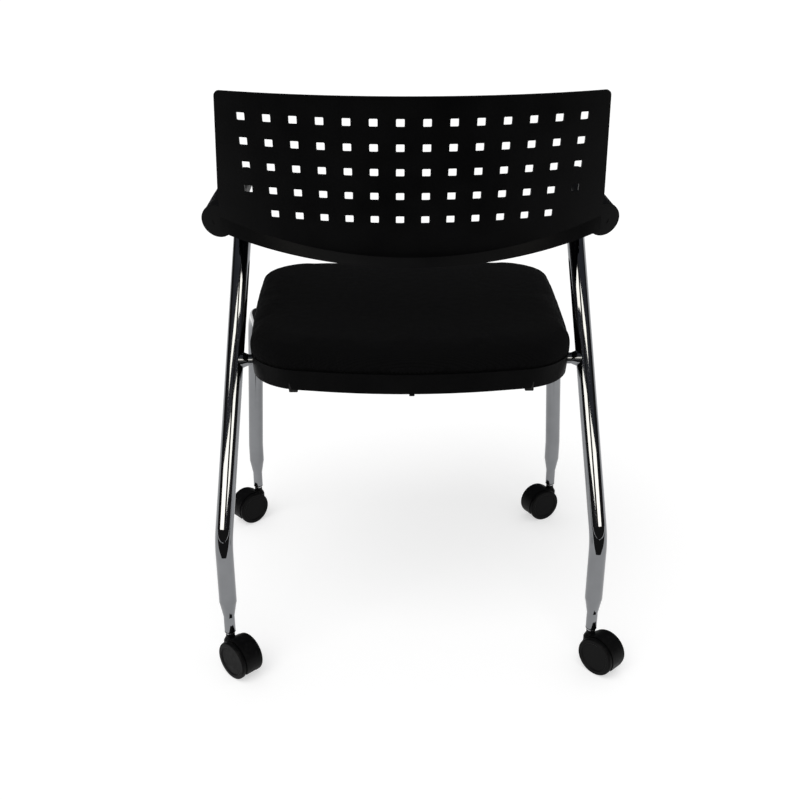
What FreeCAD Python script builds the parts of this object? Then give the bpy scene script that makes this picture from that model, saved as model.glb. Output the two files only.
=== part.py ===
import FreeCAD, Part
import math
import os

from FreeCAD import Vector

# Conference chair on four twin-wheel casters, with a perforated back and cantilever arms.
# Millimetres, +Z up, the sitter faces -Y and their left hand is on +X.
# The origin is on the floor, midway between the four caster stems.

# Tubes of the frame
tube_diameter = 25.0
tube_wall = 2.0
bar_diameter = 16.0
weld_collar_diameter = 22.0
weld_collar_length = 7.0
tube_bend_radius = 80.0
leg_bend_radius = 62.0

# Where the tubes stand and run
wheel_base = 441.0
rear_half_track = 262.0
front_half_track = 265.0
tube_end_height = 63.0
swage_diameter = 16.0
swage_wall = 2.0
swage_low_height = 88.0
swage_high_height = 113.0
rear_bend_height = 210.0
tube_top_inset = 23.5
tube_rake = 25.857
tube_top_drop = 7.0
leg_lean_height = 145.0
leg_top_half_track = 250.0
leg_top_setback = 20.5
leg_top_drop = 13.0
run_end_half_track = 193.0
run_overhang = 10.0
cross_bar_rise = 17.0
cross_bar_seating = 3.0
front_bar_setback = 110.0
plug_head = 2.0
plug_depth = 14.0
plug_clearance = 0.3

# Seat: outline, board, under-shell and cushion
seat_front_overhang = 4.0
seat_depth = 424.0
seat_front_half_width = 233.0
seat_rear_half_width = 224.5
seat_front_corner = 60.0
seat_rear_corner = 84.0
seat_rear_slope = 0.18
seat_rear_radius = 700.0
pan_rim_height = 422.0
pan_depth = 26.0
pan_wall = 3.0
pan_tube_clearance = 1.5
pan_taper = 5.0
board_thickness = 12.0
board_inset = 14.0
cushion_crown = 26.0
cushion_gap = 0.3
cushion_skirt = 2.6
centre_tab_width = 7.0
centre_tab_thickness = 2.0
centre_tab_drop = 3.0
bumper_half_spacing = 160.0
bumper_width = 12.0
bumper_grip = 9.0
bumper_drop = 5.0

# The cushion's side: inset from the seat's outline, and share of the board's thickness
cushion_side = [(cushion_skirt, 0.0), (0.8, 0.35), (0.0, 0.9)]

# The cushion's top: inset from the seat's outline, and share of the crown above the board
cushion_top = [(1.2, 0.25), (5.0, 0.47), (14.0, 0.67), (36.0, 0.84), (78.0, 0.95), (135.0, 1.0)]

# Brackets and fasteners under the seat
bracket_half_spacing = 150.0
bracket_width = 36.0
bracket_thickness = 3.0
bracket_reach = 42.0
bracket_hole_inset = 12.0
seat_screw_diameter = 6.0
seat_screw_head_diameter = 12.0
seat_screw_head = 4.0
screw_hole_clearance = 0.3
nut_barrel_diameter = 8.0
nut_flange_diameter = 18.0
nut_flange = 1.6
nut_recess = 0.4
pan_screw_diameter = 4.0
pan_screw_head_diameter = 8.0
pan_screw_head = 2.5
pan_screw_bite = 9.0
pan_screw_half_spacing = 185.0
pan_screw_end_margin = 75.0

# Back shell
back_radius = 580.0
back_thickness = 5.0
back_recline = 13.5
back_top_height = 815.0
back_top_overhang = 3.0
back_top_draw = 8.5
back_waist_inset = 4.5
back_waist_rise = 40.0
back_top_corner = 7.0
crease_centre_drop = 35.0
crease_rise_radius = 760.0
lip_drop = 10.5
lip_rise_radius = 1020.0
lip_flare = 13.0
lip_end_flare = 2.0
hole_size = 10.2
hole_corner = 1.2
hole_column_pitch = 32.4
hole_pitch_fall = 0.13
hole_row_pitch = 32.25
hole_columns = 14
hole_top_margin = 31.8
hole_crease_margin = 22.0
hole_row_rise = 1.7

# Arms and how they carry the back
ear_half_spacing = 255.5
ear_height = 640.0
ear_radius = 22.5
arm_inset = 1.0
arm_length = 278.0
arm_waist = 95.0
arm_waist_depth = 34.0
arm_waist_fall = 6.0
arm_nose_depth = 27.0
arm_nose_fall = 9.0
arm_corner = 13.0
arm_nose_round = 9.0
arm_gap = 0.2
boss_diameter = 35.0
boss_depth = 40.0
boss_roof = 8.0
boss_round = 4.0
peg_diameter = 14.0
peg_length = 26.0
peg_gap = 0.1
arm_screw_diameter = 5.0
arm_screw_head_diameter = 10.0
arm_screw_head = 3.0
arm_screw_bite = 6.0
arm_screw_drop = 20.0
back_screw_diameter = 4.0
back_screw_head_diameter = 8.0
back_screw_head = 2.5

# Casters
wheel_diameter = 57.0
caster_width = 37.0
caster_trail = 21.5
running_clearance = 0.05
end_clearance = 0.3
axle_diameter = 6.0
web_thickness = 12.0
axle_boss_diameter = 15.0
wheel_side_gap = 0.5
disc_width = 6.0
disc_rim_round = 2.5
disc_dish = 1.0
disc_dish_radius = 22.0
disc_skin = 3.0
hood_gap = 1.0
tread_drop = 5.5
hood_wall = 2.4
hood_overhang = 1.0
hood_front_angle = 200.0
hood_rear_angle = -28.0
neck_diameter = 13.0
neck_root_diameter = 20.0
neck_root_height = 46.0
neck_flare_height = 53.0
stem_diameter = 10.0
pivot_diameter = 6.0
pivot_floor = 8.0
snap_bead_depth = 0.5
snap_bead_height = 3.0
collar_diameter = 13.0
collar_height = 2.5
socket_flange = 1.5
socket_length = 40.0
grip_ring_height = 3.0
grip_ring_depth = 0.8
grip_ring_split = 2.0
grip_ring_inset = 8.0

# Each caster: side, row, and the turn of its trail away from straight back
caster_places = {
    "rear_left": (1, "rear", 45.0),
    "rear_right": (-1, "rear", 43.0),
    "front_left": (1, "front", -49.0),
    "front_right": (-1, "front", -63.0),
}

# Heights and places that follow from the sizes above
rear_y = wheel_base / 2.0
front_y = -wheel_base / 2.0
tube_radius = tube_diameter / 2.0
bar_radius = bar_diameter / 2.0
seat_front_y = front_y - seat_front_overhang
seat_rear_y = seat_front_y + seat_depth
pan_plate_height = pan_rim_height + pan_depth
cross_bar_height = pan_rim_height + cross_bar_rise
leg_top_height = pan_rim_height - leg_top_drop
board_low = pan_plate_height + pan_wall
board_high = board_low + board_thickness
back_top_y = rear_y + back_top_overhang
tube_top_half_track = ear_half_spacing - tube_top_inset
tube_top_height = ear_height - tube_top_drop
tube_top_setback = (tube_top_height - rear_bend_height) * math.tan(math.radians(tube_rake))
arm_screw_height = tube_top_height - arm_screw_drop
back_waist_half_width = ear_half_spacing - back_waist_inset
back_waist_height = ear_height + back_waist_rise
back_top_half_width = back_waist_half_width - back_top_draw
crease_centre_height = ear_height - crease_centre_drop
arm_half_width = ear_radius - arm_inset
wheel_radius = wheel_diameter / 2.0
socket_low = tube_end_height - socket_flange
socket_high = socket_low + socket_length
collar_low = socket_low - collar_height
neck_top = collar_low - end_clearance
UP = Vector(0, 0, 1)
ACROSS = Vector(1, 0, 0)
BACK = Vector(0, 1, 0)
CENTRE = Vector(0, 0, 0)


def cylinder(radius, start, end):
    """A round bar from one point to another."""
    line = end - start
    return Part.makeCylinder(radius, line.Length, start, line)


def upright(radius, point, low, high):
    """A round bar standing at a point, between two heights."""
    return cylinder(radius, Vector(point.x, point.y, low), Vector(point.x, point.y, high))


def box(low, high):
    """A block between two corners."""
    return Part.makeBox(high.x - low.x, high.y - low.y, high.z - low.z, low)


def turned(profile, start, axis):
    """A solid of revolution of closed profile points about an axis through start."""
    face = Part.Face(Part.makePolygon(profile + [profile[0]]))
    return face.revolve(start, axis, 360)


def joined(shapes):
    """One clean solid out of several that meet or overlap."""
    return shapes[0].fuse(shapes[1:]).removeSplitter()


def mirrored(shape):
    """The same piece on the sitter's right."""
    return shape.mirror(CENTRE, ACROSS)


def both_sides(shape):
    """A piece and its mirror image."""
    return [shape, mirrored(shape)]


def corner_arc(before, corner, after, radius):
    """The two tangent points and the middle of an arc that rounds a corner."""
    arrive = (corner - before).normalize()
    leave = (after - corner).normalize()
    half_turn = arrive.getAngle(leave) / 2.0
    reach = radius * math.tan(half_turn)
    inward = (leave - arrive).normalize()
    middle = corner + inward * (radius / math.cos(half_turn) - radius)
    return corner - arrive * reach, middle, corner + leave * reach


def rounded_outline(points, radii):
    """A closed wire of lines and tangent arcs through rounded corners."""
    count = len(points)
    arcs = []
    for index in range(count):
        before = points[index - 1]
        after = points[(index + 1) % count]
        arcs.append(corner_arc(before, points[index], after, radii[index]))
    edges = []
    for index in range(count):
        start, middle, end = arcs[index]
        edges.append(Part.Arc(start, middle, end).toShape())
        edges.append(Part.makeLine(end, arcs[(index + 1) % count][0]))
    return Part.Wire(edges)


def bent_bar(points, bend_radius, radius):
    """A round bar along straight runs joined by tangent bends."""
    edges = []
    start = points[0]
    for index in range(1, len(points) - 1):
        begin, middle, end = corner_arc(
            points[index - 1], points[index], points[index + 1], bend_radius)
        edges.append(Part.makeLine(start, begin))
        edges.append(Part.Arc(begin, middle, end).toShape())
        start = end
    edges.append(Part.makeLine(start, points[-1]))
    ring = Part.Wire(Part.makeCircle(radius, points[0], points[1] - points[0]))
    return Part.Wire(edges).makePipeShell([ring], True, False)


def swaged_foot(foot, wide_radius, narrow_radius):
    """The necked-down lower end of a leg, with its shoulder cone."""
    profile = [
        Vector(foot.x, foot.y, tube_end_height),
        Vector(foot.x + narrow_radius, foot.y, tube_end_height),
        Vector(foot.x + narrow_radius, foot.y, swage_low_height),
        Vector(foot.x + wide_radius, foot.y, swage_high_height),
        Vector(foot.x, foot.y, swage_high_height),
    ]
    return turned(profile, foot, UP)


def rear_foot():
    return Vector(rear_half_track, rear_y, 0)


def front_foot():
    return Vector(front_half_track, front_y, 0)


def rear_path():
    """Centre line of the left rear tube, from the swage to its top in the arm."""
    return [
        Vector(rear_half_track, rear_y, swage_high_height),
        Vector(rear_half_track, rear_y, rear_bend_height),
        Vector(tube_top_half_track, rear_y - tube_top_setback, tube_top_height),
    ]


def rear_axis_at(height):
    """The point of the left rear tube's raked centre line at a height."""
    corner, top = rear_path()[1:]
    return corner + (top - corner) * ((height - corner.z) / (top.z - corner.z))


def rear_rake():
    corner, top = rear_path()[1:]
    return (top - corner).normalize()


def cross_bar_y():
    return rear_axis_at(cross_bar_height).y


def run_rear_height():
    """Height of a seat run's centre line where the cross bar sits in its saddle."""
    return cross_bar_height - bar_radius + cross_bar_seating - tube_radius


def leg_top():
    return Vector(leg_top_half_track, front_y + leg_top_setback, leg_top_height)


def run_direction():
    seat = Vector(run_end_half_track, cross_bar_y(), run_rear_height())
    return (seat - leg_top()).normalize()


def run_at(y):
    """The point of the left seat run's centre line at a depth."""
    along = run_direction()
    return leg_top() + along * ((y - leg_top().y) / along.y)


def front_path():
    """Centre line of the left front leg and of its run under the seat."""
    return [
        Vector(front_half_track, front_y, swage_high_height),
        Vector(front_half_track, front_y, leg_lean_height),
        leg_top(),
        run_at(cross_bar_y() + run_overhang),
    ]


def leg_solid(path, bend_radius, foot, thinning, foot_thinning):
    """A leg's outer form, or its bore when a wall is taken off."""
    shaft = bent_bar(path, bend_radius, tube_radius - thinning)
    foot_radius = swage_diameter / 2.0 - foot_thinning
    return joined([shaft, swaged_foot(foot, tube_radius - thinning, foot_radius)])


def rear_tube_form(thinning=0.0, foot_thinning=0.0):
    return leg_solid(rear_path(), tube_bend_radius, rear_foot(), thinning, foot_thinning)


def front_leg_form(thinning=0.0, foot_thinning=0.0):
    return leg_solid(front_path(), leg_bend_radius, front_foot(), thinning, foot_thinning)


def rear_tube():
    """Rear upright, pierced at its top by the arm's screw."""
    return rear_tube_form().cut([rear_tube_form(tube_wall, swage_wall), arm_screw_parts()[0]])


def front_leg():
    """Front leg and seat run, with saddles for the two bars."""
    bars = [cross_bar_form(), front_bar_form()]
    return front_leg_form().cut(front_leg_form(tube_wall, swage_wall)).cut(bars)


def cross_bar_form(growth=0.0):
    end = rear_axis_at(cross_bar_height)
    return cylinder(bar_radius + growth, Vector(-end.x, end.y, end.z), end)


def cross_bar():
    """The bar between the rear tubes, flared by its weld at each end."""
    end = rear_axis_at(cross_bar_height)
    collar_radius = weld_collar_diameter / 2.0
    wall = end - ACROSS * tube_radius
    root = wall - ACROSS * weld_collar_length
    collar = Part.makeCone(bar_radius, collar_radius, weld_collar_length, root, ACROSS)
    tip = cylinder(collar_radius, wall, end)
    bar = joined([cross_bar_form()] + both_sides(collar) + both_sides(tip))
    return bar.cut(both_sides(rear_tube_form()))


def front_bar_y():
    return front_y + front_bar_setback


def front_bar_form(growth=0.0):
    """The bar that sits in saddles on the two seat runs."""
    seat = run_at(front_bar_y())
    end = seat + UP * (tube_radius - cross_bar_seating + bar_radius)
    return cylinder(bar_radius + growth, Vector(-end.x, end.y, end.z), end)


def tube_plugs():
    """Plastic plugs that close the rear ends of the two seat runs, relieved under the cross bar."""
    along = run_direction()
    end = front_path()[-1]
    head = cylinder(tube_radius, end, end + along * plug_head)
    body = cylinder(tube_radius - tube_wall, end - along * plug_depth, end)
    return both_sides(joined([head, body]).cut(cross_bar_form(plug_clearance)))


def bracket_rows():
    """The bar that each row of brackets is welded on, with its depth."""
    return {
        "front": (front_bar_y(), front_bar_form()),
        "rear": (cross_bar_y(), cross_bar_form()),
    }


def seat_screw_points():
    """Where the seat screws pass up through the brackets, on the left."""
    reach = bracket_reach - bracket_hole_inset
    depths = [front_bar_y() - reach, cross_bar_y() - reach]
    return [Vector(bracket_half_spacing, depth, pan_plate_height) for depth in depths]


def screw_holes(low, high):
    """Clearance holes for the seat screws on the left, between two heights."""
    radius = seat_screw_diameter / 2.0 + screw_hole_clearance
    return [upright(radius, point, low, high) for point in seat_screw_points()]


def seat_bracket(row):
    """A plate welded on a bar, turned forward under the seat board."""
    bar_y, bar = bracket_rows()[row]
    half = bracket_width / 2.0
    low = pan_plate_height - bracket_thickness
    inner = bracket_half_spacing - half
    outer = bracket_half_spacing + half
    rear = bar_y + bracket_thickness
    plate = box(Vector(inner, bar_y - bracket_reach, low), Vector(outer, rear, pan_plate_height))
    web_low = Vector(inner, bar_y - bracket_thickness, bar.CenterOfMass.z)
    web = box(web_low, Vector(outer, rear, pan_plate_height))
    bracket = joined([plate, web]).cut(bar)
    return bracket.cut(screw_holes(low, pan_plate_height))


def seat_outline(inset, height):
    """The seat's plan, drawn in by an inset, at a height."""
    front_half = seat_front_half_width - inset
    rear_half = seat_rear_half_width - inset
    rear_radius = seat_rear_radius * rear_half / seat_rear_half_width
    apex_y = seat_rear_y - inset + rear_radius * (math.hypot(1.0, seat_rear_slope) - 1.0)
    corner_y = apex_y - seat_rear_slope * rear_half
    points = [
        Vector(-front_half, seat_front_y + inset, height),
        Vector(front_half, seat_front_y + inset, height),
        Vector(rear_half, corner_y, height),
        Vector(0, apex_y, height),
        Vector(-rear_half, corner_y, height),
    ]
    front_corner = seat_front_corner * front_half / seat_front_half_width
    rear_corner = seat_rear_corner * rear_half / seat_rear_half_width
    radii = [front_corner, front_corner, rear_corner, rear_radius, rear_corner]
    return rounded_outline(points, radii)


def seat_slab(inset, low, high):
    """The seat's plan as a straight-sided slab."""
    return Part.Face(seat_outline(inset, low)).extrude(UP * (high - low))


def seat_board():
    """Plywood board with its tee nut and screw holes."""
    cuts = both_sides(Part.makeCompound(tee_nut_forms()))
    cuts += both_sides(Part.makeCompound(screw_holes(board_low, board_high)))
    cuts += pan_screw_shanks()
    return seat_slab(board_inset, board_low, board_high).cut(cuts)


def tee_nut_forms():
    """The recesses of the tee nuts on the left: barrel below, flange up to the board's top."""
    flange_low = board_high - nut_recess - nut_flange
    forms = []
    for point in seat_screw_points():
        barrel = upright(nut_barrel_diameter / 2.0, point, board_low + nut_flange, board_high)
        flange = upright(nut_flange_diameter / 2.0, point, flange_low, board_high)
        forms.append(joined([barrel, flange]))
    return forms


def tee_nuts():
    """Four tee nuts, sunk just under the board's top face."""
    recess = seat_slab(0.0, board_high - nut_recess, board_high)
    nuts = []
    for point, form in zip(seat_screw_points(), tee_nut_forms()):
        thread = upright(seat_screw_diameter / 2.0, point, board_low, board_high)
        nuts += both_sides(form.cut([thread, recess]))
    return nuts


def seat_screws():
    """Four machine screws, from under the brackets into the tee nuts."""
    seat = pan_plate_height - bracket_thickness
    tip = board_high - nut_recess - nut_flange
    screws = []
    for point in seat_screw_points():
        shank = upright(seat_screw_diameter / 2.0, point, seat, tip)
        head = upright(seat_screw_head_diameter / 2.0, point, seat - seat_screw_head, seat)
        screws += both_sides(joined([shank, head]))
    return screws


def pan_screw_points():
    """Six screw places around the under-shell's plate."""
    middle = (seat_front_y + seat_rear_y) / 2.0
    depths = [seat_front_y + pan_screw_end_margin, middle, seat_rear_y - pan_screw_end_margin]
    points = []
    for side in (1, -1):
        for depth in depths:
            points.append(Vector(side * pan_screw_half_spacing, depth, pan_plate_height))
    return points


def pan_screw_shanks():
    radius = pan_screw_diameter / 2.0
    tip = board_low + pan_screw_bite
    return [upright(radius, point, pan_plate_height, tip) for point in pan_screw_points()]


def pan_screws():
    """Six small screws that hold the under-shell to the board."""
    screws = []
    for point, shank in zip(pan_screw_points(), pan_screw_shanks()):
        head = cylinder(pan_screw_head_diameter / 2.0, point - UP * pan_screw_head, point)
        screws.append(joined([shank, head]))
    return screws


def pan_form():
    """The under-shell's plate and tapered rim, without its notches."""
    outer = [seat_outline(pan_taper, pan_rim_height), seat_outline(cushion_skirt, board_low)]
    hollow = [
        seat_outline(pan_taper + pan_wall, pan_rim_height),
        seat_outline(cushion_skirt + pan_wall, pan_plate_height),
    ]
    return Part.makeLoft(outer, True, True).cut(Part.makeLoft(hollow, True, True))


def seat_pan():
    """Moulded under-shell, notched where the tubes and bars pass its rim."""
    half_tab = centre_tab_width / 2.0
    tab_y = seat_rear_y - pan_taper - (pan_wall - centre_tab_thickness) / 2.0
    tab_low = Vector(-half_tab, tab_y - centre_tab_thickness, pan_rim_height - centre_tab_drop)
    tab = box(tab_low, Vector(half_tab, tab_y, pan_rim_height + pan_wall))
    notches = both_sides(front_leg_form(-pan_tube_clearance))
    notches += [cross_bar_form(pan_tube_clearance), front_bar_form(pan_tube_clearance)]
    notches += both_sides(Part.makeCompound(screw_holes(pan_plate_height, board_low)))
    notches += pan_screw_shanks()
    return joined([pan_form(), tab]).cut(notches)


def seat_bumpers():
    """Two rubber clips pushed on the under-shell's rear rim."""
    rim_y = seat_rear_y - seat_rear_slope * bumper_half_spacing
    half = bumper_width / 2.0
    depth = bumper_width + pan_taper
    low = Vector(bumper_half_spacing - half, rim_y - depth, pan_rim_height - bumper_drop)
    high = Vector(bumper_half_spacing + half, rim_y + pan_taper, pan_rim_height + bumper_grip)
    block = box(low, high)
    foot_edges = [edge for edge in block.Edges if edge.BoundBox.ZMax < pan_rim_height]
    block = block.makeFillet(bumper_drop / 2.0, foot_edges)
    return both_sides(block.cut(pan_form()))


def seat_cushion():
    """Upholstered pad: crowned on top, fullest at mid height, drawn in at the board's edge."""
    low = board_low + cushion_gap
    wires = []
    for inset, share in cushion_side:
        wires.append(seat_outline(inset, low + board_thickness * share))
    for inset, share in cushion_top:
        wires.append(seat_outline(inset, board_high + cushion_crown * share))
    pad = Part.makeLoft(wires, True, True)
    return pad.cut(seat_slab(board_inset - cushion_gap, board_low, board_high + cushion_gap))


def back_axes():
    """The back's rearward normal and its upward line, leaning with the recline."""
    lean = math.radians(back_recline)
    normal = Vector(0, math.cos(lean), -math.sin(lean))
    upward = Vector(0, math.sin(lean), math.cos(lean))
    return normal, upward


def back_cylinder(depth):
    """The solid round that the back is curved on, a depth in from the rear face."""
    normal, upward = back_axes()
    top = Vector(0, back_top_y, back_top_height)
    foot = top - normal * back_radius - upward * back_radius
    rounded = Part.makeCylinder(back_radius - depth, 2.0 * back_radius, foot, upward)
    rounded.rotate(foot, upward, 180)
    return rounded


def back_surface_y(x, z, depth=0.0):
    """How far back the back's curved face lies at a place seen from behind."""
    lean = math.radians(back_recline)
    sag = back_radius - math.sqrt((back_radius - depth) ** 2 - x ** 2)
    return back_top_y - sag / math.cos(lean) - (back_top_height - z) * math.tan(lean)


def arc_rise(x, radius):
    """How far an arc has risen at a distance from the middle of the chair."""
    return radius - math.sqrt(radius ** 2 - x ** 2)


def crease_height(x):
    """The rising line along which the lower lip turns out."""
    return crease_centre_height + arc_rise(x, crease_rise_radius)


def lip_height(x):
    """The rising line of the lip's free edge."""
    return crease_centre_height - lip_drop + arc_rise(x, lip_rise_radius)


def back_outline():
    """The back's outline seen from behind, down to the crease, drawn out along the depth."""
    points = [
        Vector(back_top_half_width, 0, back_top_height),
        Vector(back_waist_half_width, 0, back_waist_height),
        Vector(back_waist_half_width, 0, crease_height(back_waist_half_width)),
    ]
    left = [Vector(-point.x, 0, point.z) for point in reversed(points)]
    crease = Part.Arc(points[-1], Vector(0, 0, crease_centre_height), left[0]).toShape()
    top_left = corner_arc(left[1], left[2], points[0], back_top_corner)
    top_right = corner_arc(left[2], points[0], points[1], back_top_corner)
    edges = [
        Part.Arc(*top_left).toShape(),
        Part.makeLine(top_left[2], top_right[0]),
        Part.Arc(*top_right).toShape(),
        Part.makeLine(top_right[2], points[1]),
        Part.makeLine(points[1], points[2]),
        crease,
        Part.makeLine(left[0], left[1]),
        Part.makeLine(left[1], top_left[0]),
    ]
    return Part.Face(Part.Wire(edges)).extrude(BACK * back_radius)


def ear_form(radius):
    """A round ear at the back's lower left corner, as a bar along the depth."""
    start = Vector(ear_half_spacing, 0, ear_height)
    return cylinder(radius, start, start + BACK * back_radius)


def lip_point(x, depth, flare):
    """A point of the lip's free edge, flared out from the back's curved face."""
    height = lip_height(x)
    return Vector(x, back_surface_y(x, height, depth) + flare, height)


def lip_edge(crease, depth):
    """The lip's free edge below a crease edge, flared most at the middle."""
    ends = [lip_point(vertex.X, depth, lip_end_flare) for vertex in crease.Vertexes]
    return Part.Arc(ends[0], lip_point(0, depth, lip_flare), ends[1]).toShape()


def lower_lip(panel):
    """The band below the crease, which turns out to the rear."""
    seam = min(panel.Faces, key=lambda face: face.CenterOfMass.z)
    long_edges = [edge for edge in seam.Edges if edge.Length > back_waist_half_width]
    front, rear = sorted(long_edges, key=lambda edge: edge.CenterOfMass.y)
    ring = [front, lip_edge(front, back_thickness), lip_edge(rear, 0.0), rear]
    faces = [seam]
    for index in range(len(ring) - 1):
        faces.append(Part.makeRuledSurface(ring[index], ring[index + 1]))
    for end in (0, 1):
        corners = [edge.Vertexes[end].Point for edge in ring]
        faces.append(Part.Face(Part.makePolygon(corners + [corners[0]])))
    return Part.makeSolid(Part.makeShell(faces))


def hole_places():
    """Middle of each hole seen from behind, row by row down to the last that clears the crease."""
    row_step = hole_row_pitch * math.cos(math.radians(back_recline))
    top_row = back_top_height - hole_top_margin
    outermost = (hole_columns - 1) / 2.0
    places = []
    for row in range(int((top_row - crease_centre_height) / row_step) + 1):
        column_pitch = hole_column_pitch - row * hole_pitch_fall
        for column in range(hole_columns):
            step = column - outermost
            x = step * column_pitch
            height = top_row - row * row_step + hole_row_rise * (step / outermost) ** 2
            if height - hole_size / 2.0 > crease_height(x) + hole_crease_margin:
                places.append((x, height))
    return places


def back_holes():
    """Square holes with rounded corners, all drawn straight back as from one mould."""
    half = hole_size / 2.0
    corners = [Vector(x, 0, z) for x, z in ((-half, -half), (half, -half), (half, half), (-half, half))]
    face = Part.Face(rounded_outline(corners, [hole_corner] * len(corners)))
    reach = 2.0 * back_thickness
    cutters = []
    for x, height in hole_places():
        cutter = face.extrude(BACK * (2.0 * reach))
        cutter.translate(Vector(x, back_surface_y(x, height, back_thickness / 2.0) - reach, height))
        cutters.append(cutter)
    return cutters


def peg_start():
    """Middle of an ear's front face, where the peg stands."""
    y = back_surface_y(ear_half_spacing, ear_height, back_thickness)
    return Vector(ear_half_spacing, y, ear_height)


def peg_form(growth=0.0):
    """The peg in front of an ear that plugs into the arm."""
    root = peg_start() + BACK * (back_thickness / 2.0)
    tip = peg_start() - BACK * (peg_length + growth)
    return cylinder(peg_diameter / 2.0 + growth, root, tip)


def back_shell():
    """Curved, perforated back with round ears, pegs and a turned-out lower lip."""
    sheet = back_cylinder(0.0).cut(back_cylinder(back_thickness))
    panel = sheet.common(back_outline())
    ear = sheet.common(ear_form(ear_radius))
    shell = joined([panel, lower_lip(panel)] + both_sides(ear) + both_sides(peg_form()))
    return shell.cut(back_holes()).cut(both_sides(back_screw_parts()[0]))


def arm_section(y, depth, fall, corner):
    """An arm's rounded cross-section, its top fallen a little below the ear's."""
    inner = ear_half_spacing - arm_half_width
    outer = ear_half_spacing + arm_half_width
    high = ear_height + arm_half_width - fall
    low = high - depth
    points = [
        Vector(inner, y, low),
        Vector(outer, y, low),
        Vector(outer, y, high),
        Vector(inner, y, high),
    ]
    return rounded_outline(points, [corner] * len(points))


def arm_nose_y():
    return peg_start().y - arm_length


def arm_body():
    """The arm as a lofted bar that thins towards its rounded nose."""
    knob_round = arm_half_width - arm_gap
    knob = (2.0 * arm_half_width, 0.0, knob_round)
    start = peg_start().y
    wires = [
        arm_section(start + ear_radius, *knob),
        arm_section(start - peg_length, *knob),
        arm_section(start - arm_waist, arm_waist_depth, arm_waist_fall, arm_corner),
        arm_section(arm_nose_y(), arm_nose_depth, arm_nose_fall, arm_corner),
    ]
    body = Part.makeLoft(wires, True, True)
    nose = [edge for edge in body.Edges if edge.BoundBox.YMax < arm_nose_y() + arm_gap]
    return body.makeFillet(arm_nose_round, nose)


def boss_form():
    """The socket on the arm's inner side that takes the tube's top."""
    along = rear_rake()
    top = rear_path()[-1]
    boss = cylinder(boss_diameter / 2.0, top - along * boss_depth, top + along * boss_roof)
    rims = [edge for edge in boss.Edges if edge.Curve.TypeId == "Part::GeomCircle"]
    return boss.makeFillet(boss_round, rims)


def arm():
    """Moulded arm with its tube socket, its peg socket and its screw holes."""
    body = joined([arm_body(), boss_form()])
    body = body.common(back_cylinder(back_thickness + arm_gap))
    cuts = [rear_tube_form(), peg_form(peg_gap)]
    return body.cut(cuts + list(back_screw_parts()) + list(arm_screw_parts()))


def back_screw_parts():
    """Shank and head of the screw that locks the left peg, from under the arm."""
    underside = ear_height - arm_half_width
    seat = underside + back_screw_head
    middle = peg_start() - BACK * (peg_length / 2.0)
    shank = upright(back_screw_diameter / 2.0, middle, seat, ear_height + peg_diameter / 4.0)
    head = upright(back_screw_head_diameter / 2.0, middle, underside, seat)
    return shank, head


def arm_screw_parts():
    """Shank and head of the screw that crosses the left boss into the tube."""
    centre = rear_axis_at(arm_screw_height)
    outside = centre - ACROSS * (boss_diameter / 2.0)
    seat = outside + ACROSS * arm_screw_head
    tip = centre - ACROSS * (tube_radius - arm_screw_bite)
    shank = cylinder(arm_screw_diameter / 2.0, seat, tip)
    head = cylinder(arm_screw_head_diameter / 2.0, outside - ACROSS * arm_screw_head, seat)
    return shank, head


def screws_from(parts):
    """A left and right screw out of a shank and a head."""
    return both_sides(joined(list(parts)))


def caster_socket():
    """Sleeve pressed into a leg's foot, with a flange under the tube's end, on the Z axis."""
    sleeve = upright(swage_diameter / 2.0 - swage_wall, CENTRE, tube_end_height, socket_high)
    flange = upright(swage_diameter / 2.0, CENTRE, socket_low, tube_end_height)
    bore = upright(stem_diameter / 2.0, CENTRE, socket_low, socket_high)
    return joined([sleeve, flange]).cut(bore)


def ring_groove():
    """The space of the grip ring around the stem's core."""
    high = socket_high - grip_ring_inset
    low = high - grip_ring_height
    around = upright(stem_diameter / 2.0, CENTRE, low, high)
    return around.cut(upright(stem_diameter / 2.0 - grip_ring_depth, CENTRE, low, high))


def pivot_low():
    """Bottom of the pivot bore, in the hood's web."""
    return wheel_radius + pivot_floor


def pivot_form(growth, floor):
    """The pivot with its snap bead, or its bore when grown."""
    radius = pivot_diameter / 2.0 + growth
    bead_high = pivot_low() + snap_bead_height + growth
    pin = upright(radius, CENTRE, floor, collar_low)
    return joined([pin, upright(radius + snap_bead_depth, CENTRE, floor, bead_high)])


def caster_stem():
    """Steel stem: pivot in the hood, collar under the socket, grooved shank in the socket."""
    pivot = pivot_form(0.0, pivot_low() + end_clearance)
    collar = upright(collar_diameter / 2.0, CENTRE, collar_low, socket_low)
    shank = upright(stem_diameter / 2.0, CENTRE, socket_low, socket_high)
    return joined([pivot, collar, shank]).cut(ring_groove())


def caster_grip_ring():
    """Split spring ring in the stem's groove."""
    half = grip_ring_split / 2.0
    split = box(Vector(-half, 0, socket_low), Vector(half, stem_diameter, socket_high))
    return ring_groove().cut(split)


def axle_centre():
    return Vector(0, caster_trail, wheel_radius)


def across_axle(radius, half_width):
    """A round along the axle, centred on the caster."""
    centre = axle_centre()
    return cylinder(radius, centre - ACROSS * half_width, centre + ACROSS * half_width)


def disc_inner():
    """How far out the wheel's full-size disc begins."""
    return caster_width / 2.0 - disc_width


def hood_radius():
    return wheel_radius + hood_overhang


def tread_radius():
    """The wheel's stepped-down part that runs under the hood."""
    return wheel_radius - tread_drop


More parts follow.
